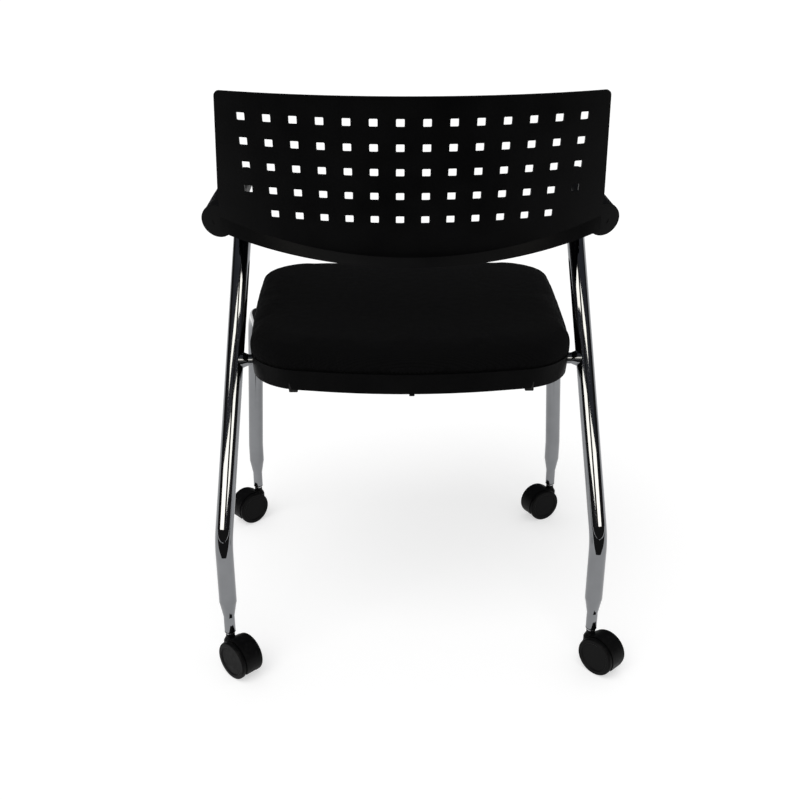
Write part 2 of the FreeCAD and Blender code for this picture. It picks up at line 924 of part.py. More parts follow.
def hood_opening():
    """The wedge below the axle that the hood leaves open for the wheels."""
    centre = axle_centre()
    reach = 2.0 * wheel_diameter
    wedge = [centre]
    for angle in (hood_front_angle, 270.0, 360.0 + hood_rear_angle):
        turn = math.radians(angle)
        wedge.append(centre + Vector(0, math.cos(turn), math.sin(turn)) * reach)
    opening = Part.Face(Part.makePolygon(wedge + [wedge[0]])).extrude(ACROSS * caster_width)
    opening.translate(ACROSS * (-caster_width / 2.0))
    return opening


def caster_hood():
    """Moulded hood: a fender over the wheels, the web between them and the pivot neck."""
    half = disc_inner() - hood_gap
    root_radius = neck_root_diameter / 2.0
    flare_rise = neck_flare_height - neck_root_height
    drum = across_axle(hood_radius(), half).cut(hood_opening())
    skirt = upright(root_radius, CENTRE, wheel_radius, neck_root_height)
    flare = Part.makeCone(
        root_radius, neck_diameter / 2.0, flare_rise, UP * neck_root_height, UP)
    neck = upright(neck_diameter / 2.0, CENTRE, neck_root_height, neck_top)
    web = across_axle(hood_radius(), web_thickness / 2.0)
    cavity = across_axle(hood_radius() - hood_wall, half).cut(web)
    body = joined([drum, flare, skirt, neck]).cut(cavity)
    boss = across_axle(axle_boss_diameter / 2.0, web_thickness / 2.0)
    bore = pivot_form(running_clearance, pivot_low())
    return joined([body, boss]).cut([bore, across_axle(axle_diameter / 2.0, caster_width / 2.0)])


def bore_end():
    """How far out the wheels' blind bores reach."""
    return caster_width / 2.0 - disc_dish - disc_skin


def caster_axle():
    return across_axle(axle_diameter / 2.0, bore_end() - end_clearance)


def caster_wheel(side):
    """One wheel: a dished disc with a rounded rim, and the narrower tread under the hood."""
    inner = web_thickness / 2.0 + wheel_side_gap
    face = caster_width / 2.0
    bore = axle_diameter / 2.0 + running_clearance
    centre = axle_centre()

    def at(out, radius):
        return centre + Vector(side * out, 0, radius)

    rim_start = at(face, wheel_radius - disc_rim_round)
    rim_end = at(face - disc_rim_round, wheel_radius)
    bulge = disc_rim_round * (1.0 - math.sqrt(0.5))
    rim = Part.Arc(rim_start, at(face - bulge, wheel_radius - bulge), rim_end).toShape()
    corners = [
        rim_end,
        at(disc_inner(), wheel_radius),
        at(disc_inner(), tread_radius()),
        at(inner, tread_radius()),
        at(inner, bore),
        at(bore_end(), bore),
        at(bore_end(), 0),
        at(face - disc_dish, 0),
        at(face - disc_dish, disc_dish_radius - disc_dish),
        at(face, disc_dish_radius),
        rim_start,
    ]
    profile = Part.Wire([rim] + Part.makePolygon(corners).Edges)
    return Part.Face(profile).revolve(centre, ACROSS, 360)


def caster_parts():
    """Every piece of a caster, standing on the Z axis and trailing straight back."""
    return {
        "socket": caster_socket(),
        "stem": caster_stem(),
        "grip_ring": caster_grip_ring(),
        "hood": caster_hood(),
        "axle": caster_axle(),
        "wheel_a": caster_wheel(1),
        "wheel_b": caster_wheel(-1),
    }


def placed_casters():
    """The four casters at their feet, each turned as it stands."""
    feet = {"rear": rear_foot(), "front": front_foot()}
    pieces = {}
    for place, (side, row, turn) in caster_places.items():
        foot = feet[row]
        for name, shape in caster_parts().items():
            shape.rotate(CENTRE, UP, turn)
            shape.translate(Vector(side * foot.x, foot.y, 0))
            pieces["caster_" + place + "_" + name] = shape
    return pieces


def paired_parts():
    """The pieces that are mirror images on the two sides."""
    shapes = {"rear_tube": rear_tube(), "front_leg": front_leg(), "arm": arm()}
    for row in bracket_rows():
        shapes["seat_bracket_" + row] = seat_bracket(row)
    parts = {}
    for name, shape in shapes.items():
        parts[name + "_left"] = shape
        parts[name + "_right"] = mirrored(shape)
    return parts


def fastener_groups():
    """The groups of alike small pieces, each one node."""
    groups = {
        "tube_plugs": tube_plugs(),
        "seat_screws": seat_screws(),
        "tee_nuts": tee_nuts(),
        "pan_screws": pan_screws(),
        "seat_bumpers": seat_bumpers(),
        "back_screws": screws_from(back_screw_parts()),
        "arm_screws": screws_from(arm_screw_parts()),
    }
    return {name: Part.makeCompound(pieces) for name, pieces in groups.items()}


def all_parts():
    """Every node of the chair by name."""
    parts = {
        "cross_bar": cross_bar(),
        "front_bar": front_bar_form(),
        "seat_board": seat_board(),
        "seat_pan": seat_pan(),
        "seat_cushion": seat_cushion(),
        "back_shell": back_shell(),
    }
    parts.update(paired_parts())
    parts.update(fastener_groups())
    parts.update(placed_casters())
    return parts


os.makedirs("parts", exist_ok=True)
for node, solid in all_parts().items():
    solid.exportStep("parts/" + node + ".step")
    print(node, len(solid.Solids), solid.isValid(), round(solid.Volume))
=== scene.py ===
import math

import bpy
from mathutils import Matrix, Vector
from mathutils.bvhtree import BVHTree


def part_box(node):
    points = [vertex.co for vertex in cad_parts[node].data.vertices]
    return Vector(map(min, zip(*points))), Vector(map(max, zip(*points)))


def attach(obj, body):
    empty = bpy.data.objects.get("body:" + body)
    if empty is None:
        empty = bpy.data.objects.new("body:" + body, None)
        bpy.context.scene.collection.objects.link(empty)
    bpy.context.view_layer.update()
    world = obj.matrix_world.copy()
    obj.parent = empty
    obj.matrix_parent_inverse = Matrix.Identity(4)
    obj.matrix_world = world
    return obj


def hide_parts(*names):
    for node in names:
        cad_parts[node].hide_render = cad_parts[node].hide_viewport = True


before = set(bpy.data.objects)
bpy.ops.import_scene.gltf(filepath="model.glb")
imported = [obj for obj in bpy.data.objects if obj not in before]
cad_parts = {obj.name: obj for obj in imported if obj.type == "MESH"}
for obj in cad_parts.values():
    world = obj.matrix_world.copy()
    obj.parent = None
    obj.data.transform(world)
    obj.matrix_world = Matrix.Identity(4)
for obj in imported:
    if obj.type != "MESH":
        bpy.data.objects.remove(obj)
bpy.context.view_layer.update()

bl_info = {
    "name": "Conference Chair Dressing",
    "version": (1, 0, 0),
    "blender": (4, 5, 0),
    "location": "View3D > Sidebar > Chair",
    "description": "Finishes, seat pad, floor, light and camera for the conference chair",
    "category": "Object",
}

PLACES = ("rear_left", "rear_right", "front_left", "front_right")
SIDES = ("left", "right")

# A point of the pad this near the board lies on it, in metres.
HELD_BY_BOARD = 0.004

# A point of the pad whose normal sinks more than this belongs to its underside.
FACING_DOWN = -0.3

# How long the pad's cover is blown out.
SWELL_FRAMES = 20

# Sockets of Blender's Mix node, for plain numbers and for colours.
MIX_FACTOR = 0
MIX_NUMBERS = (2, 3)
MIX_NUMBER_OUT = 0
MIX_COLOURS = (6, 7)
MIX_COLOUR_OUT = 2

# Blender's wave pattern runs through this many radians in a metre when its scale is 1.
WAVE_RADIANS = 20.0

# Cards around the chair that show only in gloss: centre, width and height in metres, lean and heading.
FLAT = (0.0, 0.0)
UPRIGHT = math.pi / 2.0
CAMERA_STAND = ((0.0, 1.75, 0.85), (0.6, 1.7), (UPRIGHT, 0.0))
DARK_MAT = ((0.0, 2.6, 0.002), (6.0, 4.1), FLAT)
BRIGHT_WINDOW = ((-4.9, -3.4, 0.9), (5.0, 1.8), (UPRIGHT, math.radians(-55.0)))

# Strip lamps under the ceiling behind the camera: place across and along, width and reach, in metres.
STRIP_LAMPS = ((0.8, 3.2, 7.0, 0.4), (1.0, 5.3, 12.0, 2.0))


def colour(name, description, default):
    """A colour that a user may change."""
    return bpy.props.FloatVectorProperty(
        name=name, description=description, default=default, subtype="COLOR", size=3, min=0.0, max=1.0)


def length(name, description, default):
    """A length in metres that a user may change."""
    return bpy.props.FloatProperty(
        name=name, description=description, default=default,
        unit="LENGTH", subtype="DISTANCE", precision=5)


def amount(name, description, default):
    """A plain number that a user may change."""
    return bpy.props.FloatProperty(name=name, description=description, default=default)


def angle(name, description, degrees):
    """An angle that a user may change."""
    return bpy.props.FloatProperty(
        name=name, description=description, default=math.radians(degrees),
        subtype="ANGLE", unit="ROTATION")


class ChairFinish(bpy.types.PropertyGroup):
    """Colours and grain of the chair's finishes."""
    plating: colour("Plating", "Bright plating of the tubes and bars", (0.215, 0.22, 0.229))
    back_black: colour("Back plastic", "Moulded plastic of the back and the arms",
                       (0.0028, 0.0028, 0.0030))
    pan_black: colour("Pan plastic", "Moulded plastic of the seat's under-shell",
                      (0.0026, 0.0026, 0.0028))
    cloth_black: colour("Seat cloth", "Woven cover of the seat pad", (0.0021, 0.0021, 0.0023))
    nylon_black: colour("Caster nylon", "Hoods and wheels of the casters", (0.0030, 0.0030, 0.0032))
    paint_black: colour("Bracket paint", "Powder coat of the seat brackets", (0.012, 0.012, 0.012))
    rubber_black: colour("Rubber", "Clips at the under-shell's rear rim", (0.010, 0.010, 0.010))
    zinc: colour("Zinc", "Plating of screws, stems, axles and sockets", (0.55, 0.56, 0.58))
    veneer: colour("Veneer", "Face of the plywood board", (0.52, 0.36, 0.20))
    grain_size: length("Grain", "Size of the moulded grain on the plastic", 0.0009)
    thread_pitch: length("Threads", "Distance between two threads of the seat cloth", 0.0014)
    ply_pitch: length("Plies", "Distance between two dark layers of the plywood", 0.0034)


class ChairPad(bpy.types.PropertyGroup):
    """How the seat pad is filled."""
    voxel: length("Voxel", "Size of the pad's mesh before it swells", 0.006)
    start_inset: length("Start inset", "How much smaller the pad starts", 0.003)
    swell_cap: length("Swell", "The most that a point of the pad may move", 0.006)
    fullest: length("Fullest place", "Where along the seat its sides stand out most", -0.05)
    front_reach: length("Front reach", "How far the fullness runs towards the front", 0.16)
    rear_reach: length("Rear reach", "How far the fullness runs towards the rear", 0.22)
    side_fullness: amount("Side fullness", "Share by which the pad is wider at its fullest place", 0.036)
    end_fullness: amount("End fullness", "Share by which the pad is wider all along", 0.006)
    length_fullness: amount("Length fullness", "Share by which the pad is longer", 0.012)
    nose_start: length("Nose start", "Where along the seat its front corners begin to round off", -0.14)
    nose_round: amount("Nose rounding", "How strongly the front corners round off, per square metre",
                       10.0)
    pressure: amount("Pressure", "Push of the foam on its cover", 4.0)


class ChairStage(bpy.types.PropertyGroup):
    """Camera, floor and light."""
    camera_place: bpy.props.FloatVectorProperty(
        name="Camera place", description="Where the camera stands", default=(0.0411, 1.5432, 1.0155),
        subtype="TRANSLATION", unit="LENGTH", size=3)
    camera_yaw: angle("Yaw", "Turn of the camera from straight at the back", 1.067)
    camera_pitch: angle("Pitch", "How far the camera looks down", 24.04)
    camera_roll: angle("Roll", "Turn of the camera about its own axis", 0.055)
    camera_lens: bpy.props.FloatProperty(
        name="Lens", description="Focal length on a 36 mm sensor, in millimetres", default=49.5,
        unit="CAMERA")
    floor_size: length("Floor", "Width of the floor", 80.0)
    floor_shade: colour("Floor shade", "Colour of the pale floor", (0.60, 0.60, 0.60))
    floor_glow: amount("Floor glow", "Light added where the floor is seen or mirrored", 0.54)
    room_size: length("Room", "Distance between the dark walls that the plating mirrors", 14.0)
    room_height: length("Ceiling", "Height of the dim ceiling that the plating mirrors", 2.5)
    room_glow: amount("Wall glow", "How bright the dark walls are", 0.03)
    ceiling_glow: amount("Ceiling glow", "How bright the ceiling is", 0.09)
    ceiling_tint: colour("Ceiling tint", "Colour of the dim ceiling", (0.82, 0.86, 1.0))
    window_glow: amount("Window glow", "How bright the window is", 1.0)
    strip_glow: amount("Strip glow", "How bright the strip lamps are", 5.0)
    strip_tint: colour("Strip tint", "Colour of the strip lamps", (1.0, 0.96, 0.86))
    strip_drop: length("Strip drop", "How far the strip lamps hang under the ceiling", 0.05)
    sun_strength: amount("Key", "Strength of the soft key light", 1.2)
    sun_spread: angle("Key spread", "How wide and soft the key light is", 50.0)
    sun_lean: angle("Key lean", "Lean of the key light towards the camera", -30.0)
    sun_side: angle("Key side", "Lean of the key light to the side", 15.0)
    sky_strength: amount("Sky", "Strength of the surrounding light on matt surfaces", 0.55)


def start_surface(name, specular, metallic=0.0):
    """A new material, with its node tree, its shader and its object coordinates."""
    material = bpy.data.materials.new(name)
    material.use_nodes = True
    tree = material.node_tree
    shader = tree.nodes["Principled BSDF"]
    shader.inputs["Specular IOR Level"].default_value = specular
    shader.inputs["Metallic"].default_value = metallic
    place = tree.nodes.new("ShaderNodeTexCoord").outputs["Object"]
    return material, tree, shader, place


def stretched(tree, place, scale, turn=(0.0, 0.0, 0.0)):
    """Coordinates stretched by a scale on each axis."""
    node = tree.nodes.new("ShaderNodeMapping")
    node.inputs["Scale"].default_value = scale
    node.inputs["Rotation"].default_value = turn
    tree.links.new(place, node.inputs["Vector"])
    return node.outputs["Vector"]


def noise(tree, place, size, detail=2.0, roughness=0.5):
    """Cloudy pattern whose patches are about the given size in metres."""
    node = tree.nodes.new("ShaderNodeTexNoise")
    node.inputs["Scale"].default_value = 1.0 / size
    node.inputs["Detail"].default_value = detail
    node.inputs["Roughness"].default_value = roughness
    tree.links.new(place, node.inputs["Vector"])
    return node.outputs["Fac"]


def pebbles(tree, place, size):
    """Rounded grain of the given size in metres."""
    node = tree.nodes.new("ShaderNodeTexVoronoi")
    node.feature = "SMOOTH_F1"
    node.inputs["Scale"].default_value = 1.0 / size
    node.inputs["Smoothness"].default_value = 0.6
    tree.links.new(place, node.inputs["Vector"])
    return node.outputs["Distance"]


def spread(tree, value, low, high, from_low=0.3, from_high=0.7):
    """A pattern's values spread from low to high."""
    node = tree.nodes.new("ShaderNodeMapRange")
    node.inputs["From Min"].default_value = from_low
    node.inputs["From Max"].default_value = from_high
    node.inputs["To Min"].default_value = low
    node.inputs["To Max"].default_value = high
    tree.links.new(value, node.inputs["Value"])
    return node.outputs["Result"]


def sums(tree, operation, first, second):
    """Two patterns put together, or a pattern and a number."""
    node = tree.nodes.new("ShaderNodeMath")
    node.operation = operation
    for socket, value in zip(node.inputs, (first, second)):
        if isinstance(value, (int, float)):
            socket.default_value = value
        else:
            tree.links.new(value, socket)
    return node.outputs["Value"]


def tinted(tree, factor, first, second):
    """A colour between two, by a pattern."""
    node = tree.nodes.new("ShaderNodeMix")
    node.data_type = "RGBA"
    for number, tint in zip(MIX_COLOURS, (first, second)):
        node.inputs[number].default_value = (*tint, 1.0)
    tree.links.new(factor, node.inputs[MIX_FACTOR])
    return node.outputs[MIX_COLOUR_OUT]


def raised(tree, shader, height, depth, strength):
    """Gives the shader the relief of a pattern."""
    node = tree.nodes.new("ShaderNodeBump")
    node.inputs["Strength"].default_value = strength
    node.inputs["Distance"].default_value = depth
    tree.links.new(height, node.inputs["Height"])
    tree.links.new(node.outputs["Normal"], shader.inputs["Normal"])


def shade(colour_value, factor):
    """A colour made lighter or darker."""
    return tuple(min(1.0, part * factor) for part in colour_value)


def bright_plating(finish):
    """Bright plating: a clear mirror with a faint haze and fine polishing marks along the tube."""
    material, tree, shader, place = start_surface("bright_plating", specular=0.5, metallic=1.0)
    haze = noise(tree, place, size=0.035, detail=4.0)
    marks = noise(tree, stretched(tree, place, (900.0, 900.0, 40.0)), size=1.0, detail=3.0)
    clouds = spread(tree, haze, low=0.0, high=1.0)
    tint = tinted(tree, clouds, shade(finish.plating, 0.92), shade(finish.plating, 1.06))
    tree.links.new(tint, shader.inputs["Base Color"])
    hazy = spread(tree, haze, low=0.015, high=0.045)
    marked = spread(tree, marks, low=0.0, high=0.02)
    tree.links.new(sums(tree, "ADD", hazy, marked), shader.inputs["Roughness"])
    raised(tree, shader, marks, depth=0.00001, strength=0.05)
    return material


def moulded_plastic(name, black, grain_size, specular, smooth, rough):
    """Moulded plastic: a fine pebbled grain, with cloudy changes of gloss where hands rub it."""
    material, tree, shader, place = start_surface(name, specular)
    clouds = noise(tree, place, size=0.06, detail=4.0)
    grain = pebbles(tree, place, grain_size)
    fine = noise(tree, place, size=grain_size * 0.4, detail=2.0)
    tint = tinted(tree, spread(tree, clouds, low=0.0, high=1.0), shade(black, 0.85), shade(black, 1.2))
    tree.links.new(tint, shader.inputs["Base Color"])
    tree.links.new(spread(tree, clouds, low=smooth, high=rough), shader.inputs["Roughness"])
    height = sums(tree, "ADD", grain, sums(tree, "MULTIPLY", fine, 0.4))
    raised(tree, shader, height, depth=grain_size * 0.12, strength=0.35)
    return material


def threads(tree, place, pitch, turn):
    """Rounded threads side by side at a pitch."""
    node = tree.nodes.new("ShaderNodeTexWave")
    node.wave_type = "BANDS"
    node.bands_direction = "X"
    node.wave_profile = "SIN"
    node.inputs["Scale"].default_value = math.tau / WAVE_RADIANS / pitch
    node.inputs["Distortion"].default_value = 0.6
    node.inputs["Detail"].default_value = 1.0
    node.inputs["Detail Scale"].default_value = 2.0
    tree.links.new(stretched(tree, place, (1.0, 1.0, 1.0), (0.0, 0.0, turn)), node.inputs["Vector"])
    return node.outputs["Fac"]


def seat_cloth(finish):
    """Plain woven cloth: two sets of threads that go over and under each other, with slubs. Its colour
    carries painted shade in the hollows between threads and a painted highlight on their crowns.
    """
    material, tree, shader, place = start_surface("seat_cloth", specular=0.04)
    pitch = finish.thread_pitch
    warp = threads(tree, place, pitch, 0.0)
    weft = threads(tree, place, pitch, math.radians(90.0))
    over = tree.nodes.new("ShaderNodeTexChecker")
    over.inputs["Scale"].default_value = 1.0 / pitch
    tree.links.new(place, over.inputs["Vector"])
    woven = tree.nodes.new("ShaderNodeMix")
    tree.links.new(over.outputs["Fac"], woven.inputs[MIX_FACTOR])
    for number, thread in zip(MIX_NUMBERS, (warp, weft)):
        tree.links.new(thread, woven.inputs[number])
    slubs = noise(tree, place, size=0.012, detail=4.0)
    height = sums(tree, "ADD", woven.outputs[MIX_NUMBER_OUT], sums(tree, "MULTIPLY", slubs, 0.5))
    # Painted shade and highlight: the colour follows the weave's relief, darker between threads and
    # lighter on their crowns, with the slubs' random tone mixed in.
    weave_shade_and_highlight = spread(tree, height, low=0.0, high=1.0, from_low=0.1, from_high=1.3)
    tint = tinted(tree, weave_shade_and_highlight, shade(finish.cloth_black, 0.6), shade(finish.cloth_black, 1.5))
    tree.links.new(tint, shader.inputs["Base Color"])
    tree.links.new(spread(tree, slubs, low=0.78, high=0.95), shader.inputs["Roughness"])
    shader.inputs["Sheen Weight"].default_value = 0.015
    shader.inputs["Sheen Roughness"].default_value = 0.5
    raised(tree, shader, height, depth=0.0003, strength=0.5)
    return material


def caster_nylon(finish):
    """Black nylon: slightly waxy, with faint grey scuffs."""
    material, tree, shader, place = start_surface("caster_nylon", specular=0.07)
    scuffs = noise(tree, place, size=0.006, detail=6.0, roughness=0.65)
    fine = noise(tree, place, size=0.0007, detail=3.0)
    dust = spread(tree, scuffs, low=0.0, high=1.0, from_low=0.52, from_high=0.8)
    tint = tinted(tree, dust, finish.nylon_black, shade(finish.nylon_black, 3.0))
    tree.links.new(tint, shader.inputs["Base Color"])
    tree.links.new(spread(tree, scuffs, low=0.32, high=0.6), shader.inputs["Roughness"])
    raised(tree, shader, fine, depth=0.00008, strength=0.25)
    return material


def plywood(finish):
    """Plywood: long wavy grain on its faces and thin glued layers on its edges."""
    material, tree, shader, place = start_surface("plywood", specular=0.3)
    grain = noise(tree, stretched(tree, place, (140.0, 8.0, 140.0)), size=1.0, detail=6.0, roughness=0.6)
    layers = tree.nodes.new("ShaderNodeTexWave")
    layers.bands_direction = "Z"
    layers.inputs["Scale"].default_value = math.tau / WAVE_RADIANS / finish.ply_pitch
    layers.inputs["Distortion"].default_value = 0.4
    tree.links.new(place, layers.inputs["Vector"])
    grained = sums(tree, "MULTIPLY", grain, 0.7)
    layered = sums(tree, "MULTIPLY", layers.outputs["Fac"], 0.3)
    mixed = spread(tree, sums(tree, "ADD", grained, layered), low=0.0, high=1.0)
    tint = tinted(tree, mixed, shade(finish.veneer, 0.6), finish.veneer)
    tree.links.new(tint, shader.inputs["Base Color"])
    tree.links.new(spread(tree, grain, low=0.5, high=0.75), shader.inputs["Roughness"])
    raised(tree, shader, grain, depth=0.0002, strength=0.3)
    return material


def zinc_steel(finish):
    """Zinc-plated steel: a dull metal with cloudy spangle and turned marks."""
    material, tree, shader, place = start_surface("zinc_steel", specular=0.5, metallic=1.0)
    spangle = noise(tree, place, size=0.003, detail=5.0)
    tint = tinted(tree, spread(tree, spangle, low=0.0, high=1.0), shade(finish.zinc, 0.75), finish.zinc)
    tree.links.new(tint, shader.inputs["Base Color"])
    tree.links.new(spread(tree, spangle, low=0.25, high=0.45), shader.inputs["Roughness"])
    raised(tree, shader, noise(tree, place, size=0.0006, detail=2.0), depth=0.00004, strength=0.2)
    return material


def powder_coat(finish):
    """Powder coat: black paint with a soft orange-peel skin."""
    material, tree, shader, place = start_surface("powder_coat", specular=0.3)
    peel = noise(tree, place, size=0.0018, detail=2.0)
    skin = spread(tree, peel, low=0.0, high=1.0)
    tint = tinted(tree, skin, shade(finish.paint_black, 0.85), shade(finish.paint_black, 1.15))
    tree.links.new(tint, shader.inputs["Base Color"])
    clouds = noise(tree, place, size=0.02, detail=3.0)
    tree.links.new(spread(tree, clouds, low=0.4, high=0.55), shader.inputs["Roughness"])
    raised(tree, shader, peel, depth=0.00015, strength=0.3)
    return material


def soft_rubber(finish):
    """Black rubber: matt, with a dusty bloom."""
    material, tree, shader, place = start_surface("soft_rubber", specular=0.2)
    bloom = noise(tree, place, size=0.004, detail=5.0)
    dust = spread(tree, bloom, low=0.0, high=1.0)
    tint = tinted(tree, dust, finish.rubber_black, shade(finish.rubber_black, 2.0))
    tree.links.new(tint, shader.inputs["Base Color"])
    tree.links.new(spread(tree, bloom, low=0.7, high=0.9), shader.inputs["Roughness"])
    raised(tree, shader, noise(tree, place, size=0.0008, detail=2.0), depth=0.0001, strength=0.3)
    return material


def dress(material, *names):
    """Gives the named nodes a finish."""
    for name in names:
        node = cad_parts[name]
        if not node.material_slots:
            raise RuntimeError("no material slot on " + name)
        for holder in node.material_slots:
            holder.material = material


def select_only(piece):
    """Makes one object the only selected and active one."""
    bpy.ops.object.select_all(action="DESELECT")
    piece.select_set(True)
    bpy.context.view_layer.objects.active = piece


def copy_of_node(node_name, piece_name):
    """A new object with a merged copy of a node's mesh."""
    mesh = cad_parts[node_name].data.copy()
    mesh.name = piece_name
    piece = bpy.data.objects.new(piece_name, mesh)
    bpy.context.scene.collection.objects.link(piece)
    select_only(piece)
    bpy.ops.object.mode_set(mode="EDIT")
    bpy.ops.mesh.select_all(action="SELECT")
    bpy.ops.mesh.remove_doubles(threshold=0.00001)
    bpy.ops.object.mode_set(mode="OBJECT")
    return piece


def finish_modifier(piece, kind, **settings):
    """Adds a modifier, sets it and applies it."""
    modifier = piece.modifiers.new(kind.lower(), kind)
    for key, value in settings.items():
        setattr(modifier, key, value)
    select_only(piece)
    bpy.ops.object.modifier_apply(modifier=modifier.name)


class CHAIR_OT_tubes(bpy.types.Operator):
    """Plates the tubes and bars of the frame"""
    bl_idname = "chair.tubes"
    bl_label = "Tubes and bars"

    def execute(self, context):
        plating = bright_plating(context.scene.chair_finish)
        for side in SIDES:
            dress(plating, "rear_tube_" + side, "front_leg_" + side)
        dress(plating, "cross_bar", "front_bar")
        return {"FINISHED"}


class CHAIR_OT_back_and_arms(bpy.types.Operator):
    """Gives the back and its two arms their moulded plastic"""
    bl_idname = "chair.back_and_arms"
    bl_label = "Back and arms"

    def execute(self, context):
        finish = context.scene.chair_finish
        plastic = moulded_plastic("back_plastic", finish.back_black, finish.grain_size,
                                  specular=0.065, smooth=0.38, rough=0.5)
        dress(plastic, "back_shell", "arm_left", "arm_right")
        return {"FINISHED"}


class CHAIR_OT_seat_pad(bpy.types.Operator):
    """Fills the seat pad under its woven cover"""
    bl_idname = "chair.seat_pad"
    bl_label = "Seat pad"

    def execute(self, context):
        settings = context.scene.chair_pad
        pad = copy_of_node("seat_cushion", "seat_pad")
        finish_modifier(pad, "REMESH", mode="VOXEL", voxel_size=settings.voxel)
        shares = self.free_shares(pad)
        self.draw_in(pad, shares, settings.start_inset)
        self.swell(context, pad, shares, settings)
        self.fill_sides(pad, shares, settings)
        finish_modifier(pad, "SUBSURF", levels=1, render_levels=1)
        self.settle_hem(pad, settings.voxel)
        select_only(pad)
        bpy.ops.object.shade_smooth()
        pad.data.materials.clear()
        pad.data.materials.append(seat_cloth(context.scene.chair_finish))
        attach(pad, "chair")
        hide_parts("seat_cushion")
        return {"FINISHED"}

    def free_shares(self, pad):
        """How freely each point swells: not on the board or at the hem, fully on the top and sides."""
        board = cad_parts["seat_board"]
        shell = BVHTree.FromObject(board, bpy.context.evaluated_depsgraph_get())
        low, high = (corner[2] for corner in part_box("seat_board"))
        shares = []
        for point in pad.data.vertices:
            held = shell.find_nearest(point.co)[3] < HELD_BY_BOARD
            rise = min(1.0, max(0.0, (point.co.z - low) / (high - low)))
            shares.append(0.0 if held else rise)
        return shares

    def draw_in(self, pad, shares, inset):
        """Makes the pad a little smaller, so that it has room to swell."""
        points = pad.data.vertices
        moved = [point.co - point.normal * inset * share for point, share in zip(points, shares)]
        for point, place in zip(points, moved):
            point.co = place

    def swell(self, context, pad, shares, settings):
        """Blows the cover out with Cloth and holds each point near where it began."""
        began = [point.co.copy() for point in pad.data.vertices]
        cloth = pad.modifiers.new("swell", "CLOTH")
        cloth.settings.use_pressure = True
        cloth.settings.uniform_pressure_force = settings.pressure
        cloth.settings.effector_weights.gravity = 0.0
        cloth.point_cache.frame_start = 1
        cloth.point_cache.frame_end = SWELL_FRAMES
        for step in range(1, SWELL_FRAMES + 1):
            context.scene.frame_set(step)
        select_only(pad)
        bpy.ops.object.modifier_apply(modifier=cloth.name)
        context.scene.frame_set(1)
        for point, start, share in zip(pad.data.vertices, began, shares):
            move = point.co - start
            if move.length > settings.swell_cap:
                move = move.normalized() * settings.swell_cap
            point.co = start + move * share

    def fill_sides(self, pad, shares, settings):
        """Gives the sides back what the cover drew in, and rounds the front corners."""
        front, rear = (corner[1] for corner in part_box("seat_cushion"))
        middle = (front + rear) / 2.0
        for point, share in zip(pad.data.vertices, shares):
            away = point.co.y - settings.fullest
            reach = settings.rear_reach if away > 0.0 else settings.front_reach
            fullness = max(0.0, 1.0 - (away / reach) ** 2)
            nose = max(0.0, settings.nose_start - point.co.y) ** 2 * settings.nose_round
            wider = settings.end_fullness + settings.side_fullness * fullness - nose
            point.co.x *= 1.0 + share * wider
            point.co.y += share * (point.co.y - middle) * settings.length_fullness

    def settle_hem(self, pad, voxel):
        """Brings the cover's lower edge down on the under-shell."""
        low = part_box("seat_cushion")[0][2]
        for point in pad.data.vertices:
            if point.normal.z < FACING_DOWN and point.co.z < low + voxel:
                point.co.z = low


class CHAIR_OT_seat_underside(bpy.types.Operator):
    """Dresses the board, the under-shell, its clips and the brackets under the seat"""
    bl_idname = "chair.seat_underside"
    bl_label = "Seat underside"

    def execute(self, context):
        finish = context.scene.chair_finish
        dress(plywood(finish), "seat_board")
        plastic = moulded_plastic("pan_plastic", finish.pan_black, finish.grain_size,
                                  specular=0.06, smooth=0.45, rough=0.6)
        dress(plastic, "seat_pan")
        dress(soft_rubber(finish), "seat_bumpers")
        paint = powder_coat(finish)
        for end in ("front", "rear"):
            for side in SIDES:
                dress(paint, "seat_bracket_%s_%s" % (end, side))
        return {"FINISHED"}


class CHAIR_OT_casters(bpy.types.Operator):
    """Dresses the hoods, wheels, stems and sockets of the four casters"""
    bl_idname = "chair.casters"
    bl_label = "Casters"

    def execute(self, context):
        nylon = caster_nylon(context.scene.chair_finish)
        steel = zinc_steel(context.scene.chair_finish)
        for place in PLACES:
            name = "caster_" + place
            dress(nylon, name + "_hood", name + "_wheel_a", name + "_wheel_b", name + "_socket")
            dress(steel, name + "_stem", name + "_grip_ring", name + "_axle")
        return {"FINISHED"}


class CHAIR_OT_fasteners(bpy.types.Operator):
    """Dresses the screws, tee nuts and tube plugs"""
    bl_idname = "chair.fasteners"
    bl_label = "Fasteners and plugs"

    def execute(self, context):
        finish = context.scene.chair_finish
        dress(zinc_steel(finish), "seat_screws", "tee_nuts", "pan_screws", "back_screws", "arm_screws")
        plastic = moulded_plastic("plug_plastic", finish.pan_black, finish.grain_size,
                                  specular=0.2, smooth=0.45, rough=0.6)
        dress(plastic, "tube_plugs")
        return {"FINISHED"}


def seen_or_mirrored(tree):
    """1 on a ray from the camera, a mirror or glass, else 0."""
    path = tree.nodes.new("ShaderNodeLightPath")
    mirrored = sums(tree, "MAXIMUM", path.outputs["Is Glossy Ray"], path.outputs["Is Transmission Ray"])
    return sums(tree, "MAXIMUM", path.outputs["Is Camera Ray"], mirrored)


